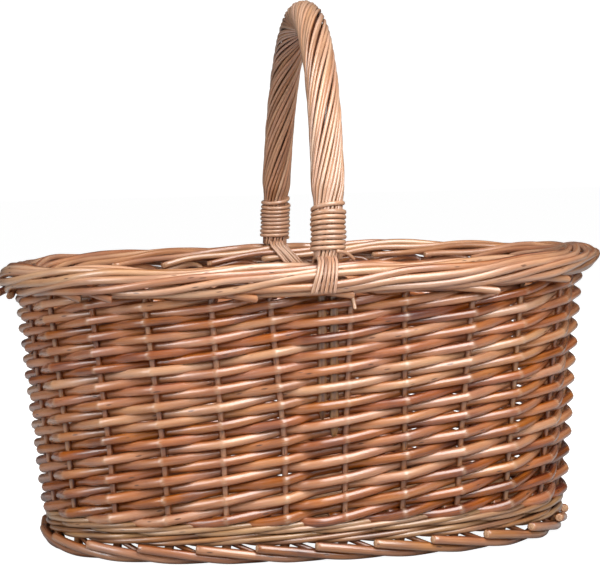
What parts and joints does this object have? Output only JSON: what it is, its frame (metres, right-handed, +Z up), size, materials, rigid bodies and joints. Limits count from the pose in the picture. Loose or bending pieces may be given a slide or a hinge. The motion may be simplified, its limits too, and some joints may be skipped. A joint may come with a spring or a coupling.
{
  "type": "woven market basket",
  "caption": "Oval willow basket with an open top, a fixed roped handle across its middle, a rolled border, and a plaited foot that holds its woven floor off the ground.",
  "frame": {"origin": "on the floor, under the middle of the basket", "axes": "+X along the basket's length, +Y from the pictured side to the far side, along the handle, +Z up"},
  "size_m": [0.471, 0.376, 0.419],
  "materials": {
    "stakes": "buff willow rods, skinned, satin, tan with red-brown and pale streaks",
    "siding": "buff willow rods, skinned, satin with a light gloss, each rod its own tan",
    "wale": "thin buff willow rods, satin, browner than the siding",
    "base": "buff willow rods and sticks, matt satin",
    "handle_bow": "one thick willow rod with two liner rods at each end, satin",
    "handle_wrap": "thin pale willow rods laid in a long twist, smooth satin",
    "binding": "thin pale willow rod wound tight, smooth satin",
    "lashing": "fine pale willow rods, smooth satin"
  },
  "bodies": {
    "root": {"stake_rod_01": "stakes", "stake_rod_02": "stakes", "stake_rod_03": "stakes", "stake_rod_04": "stakes", "stake_rod_05": "stakes", "stake_rod_06": "stakes", "stake_rod_07": "stakes", "stake_rod_08": "stakes", "stake_rod_09": "stakes", "stake_rod_10": "stakes", "stake_rod_11": "stakes", "stake_rod_12": "stakes", "stake_rod_13": "stakes", "stake_rod_14": "stakes", "stake_rod_15": "stakes", "stake_rod_16": "stakes", "stake_rod_17": "stakes", "stake_rod_18": "stakes", "stake_rod_19": "stakes", "stake_rod_20": "stakes", "stake_rod_21": "stakes", "stake_rod_22": "stakes", "stake_rod_23": "stakes", "stake_rod_24": "stakes", "stake_rod_25": "stakes", "stake_rod_26": "stakes", "siding_rod_01": "siding", "siding_rod_02": "siding", "siding_rod_03": "siding", "siding_rod_04": "siding", "siding_rod_05": "siding", "siding_rod_06": "siding", "siding_rod_07": "siding", "siding_rod_08": "siding", "siding_rod_09": "siding", "siding_rod_10": "siding", "siding_rod_11": "siding", "siding_rod_12": "siding", "siding_rod_13": "siding", "siding_rod_14": "siding", "siding_rod_15": "siding", "siding_rod_16": "siding", "siding_rod_17": "siding", "siding_rod_18": "siding", "siding_rod_19": "siding", "siding_rod_20": "siding", "siding_rod_21": "siding", "siding_rod_22": "siding", "siding_rod_23": "siding", "siding_rod_24": "siding", "siding_rod_25": "siding", "siding_rod_26": "siding", "bottom_wale": "wale", "base_mat": "base", "handle_bow": "handle_bow", "handle_wrap": "handle_wrap", "binding_front": "binding", "binding_rear": "binding", "lashing_front": "lashing", "lashing_rear": "lashing"}
  },
  "joints": []
}
